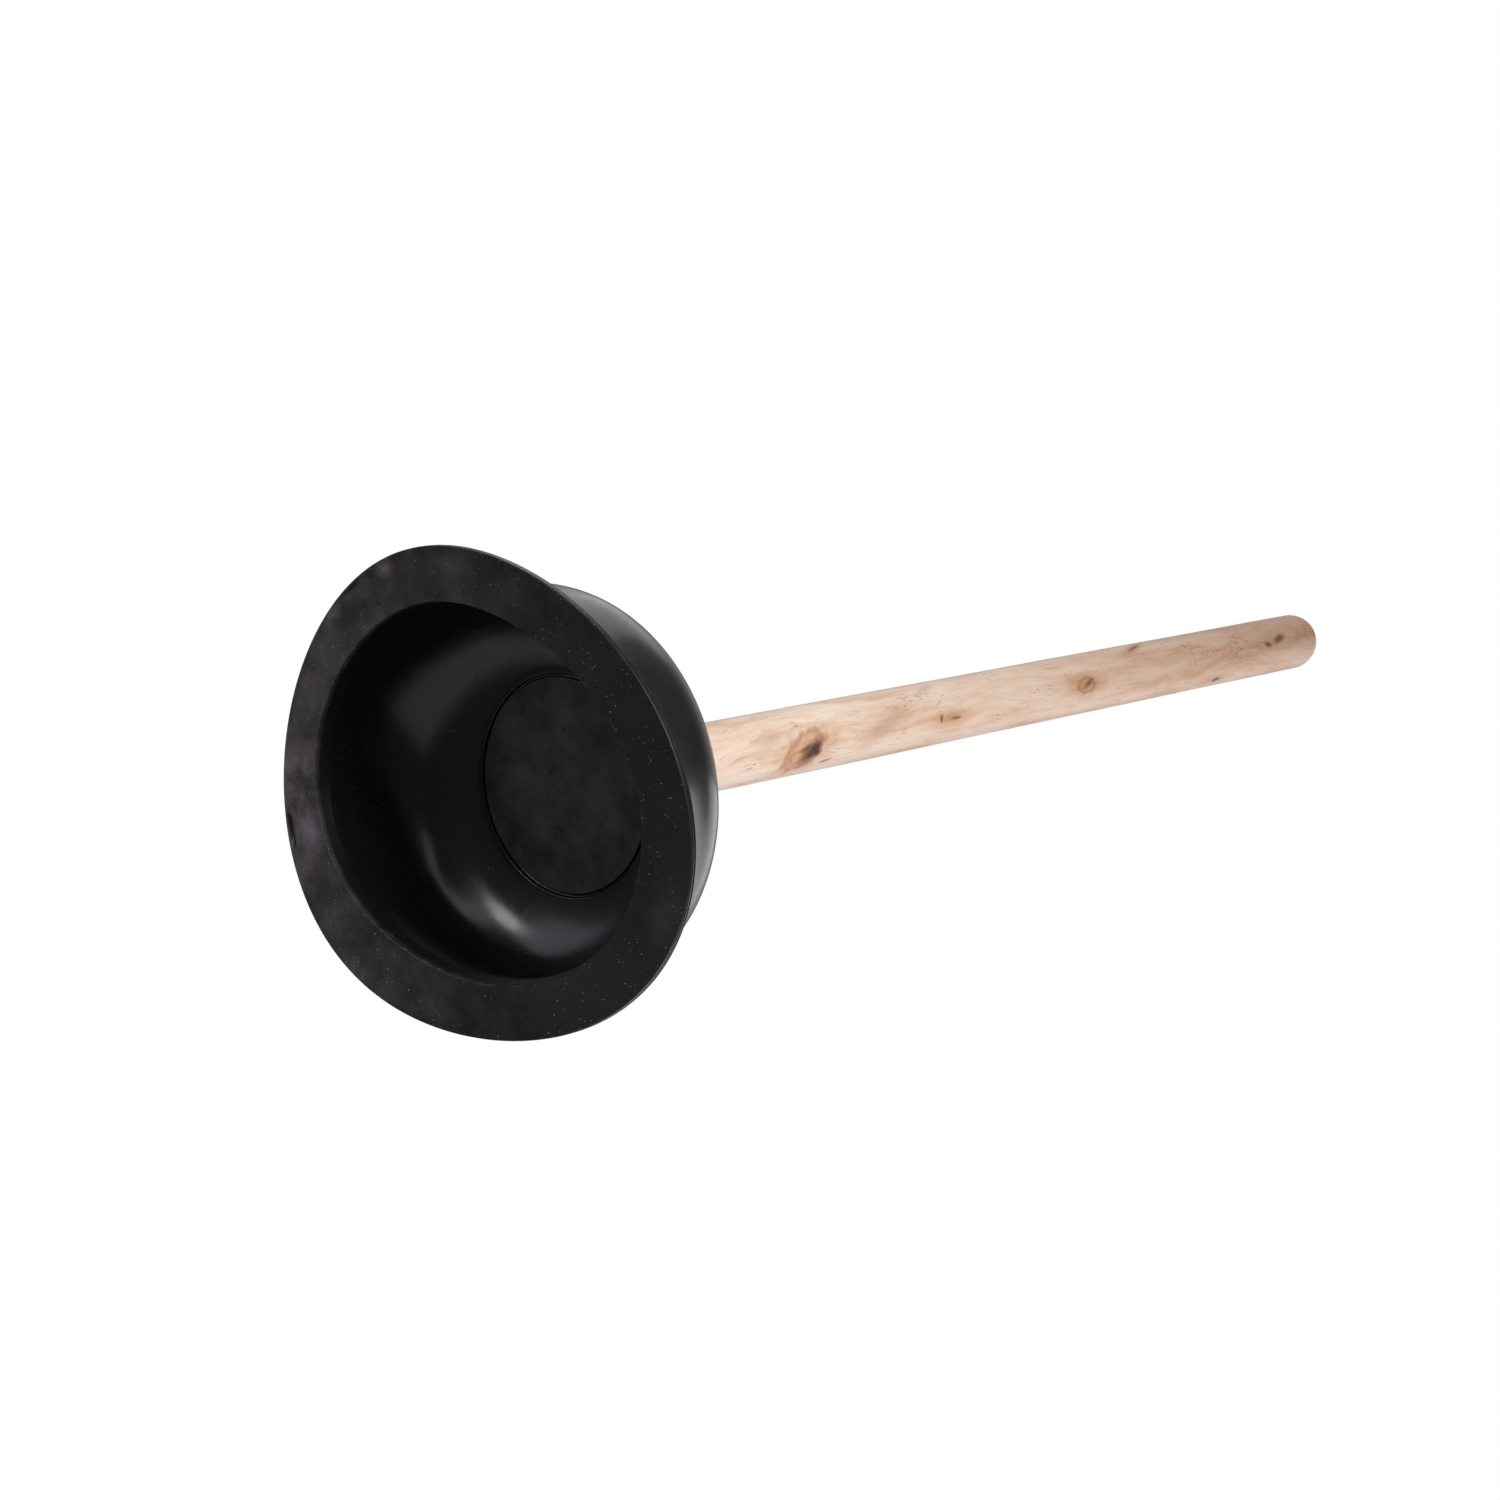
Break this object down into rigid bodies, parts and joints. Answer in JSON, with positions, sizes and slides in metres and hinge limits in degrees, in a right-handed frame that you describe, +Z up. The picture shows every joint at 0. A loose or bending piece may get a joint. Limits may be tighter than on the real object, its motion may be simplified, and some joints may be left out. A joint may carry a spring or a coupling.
{
  "type": "toilet plunger",
  "caption": "Force-cup plunger: a black rubber cup with a broad flat lip and a necked crown, on a straight round wooden handle that screws into the neck.",
  "frame": {"origin": "centre of the lip's flat face, which is the bottom of the part as it stands on its cup", "axes": "+Z up the handle's axis from the lip to the handle's free end; +X and +Y are any two perpendicular directions in the lip's plane, as the part is round"},
  "size_m": [0.15, 0.15, 0.498],
  "materials": {
    "black_rubber": "moulded black rubber, matte lip and glossy bell",
    "pale_wood": "bare sanded pale wood with small knots"
  },
  "bodies": {
    "bell": {"cup_skirt": "black_rubber"},
    "crown": {"cup_crown": "black_rubber"},
    "handle": {"handle": "pale_wood"}
  },
  "joints": [
    {"name": "plunge_stroke", "type": "slide", "parent": "bell", "child": "crown", "axis": [0, 0, 1], "range_m": [-0.024, 0], "stiffness_N_per_m": 3000, "springref_m": 0.0015, "deforming": ["cup_skirt"]},
    {"name": "handle_withdraw", "type": "slide", "parent": "crown", "child": "handle", "axis": [0, 0, 1], "range_m": [0, 0.036]}
  ]
}
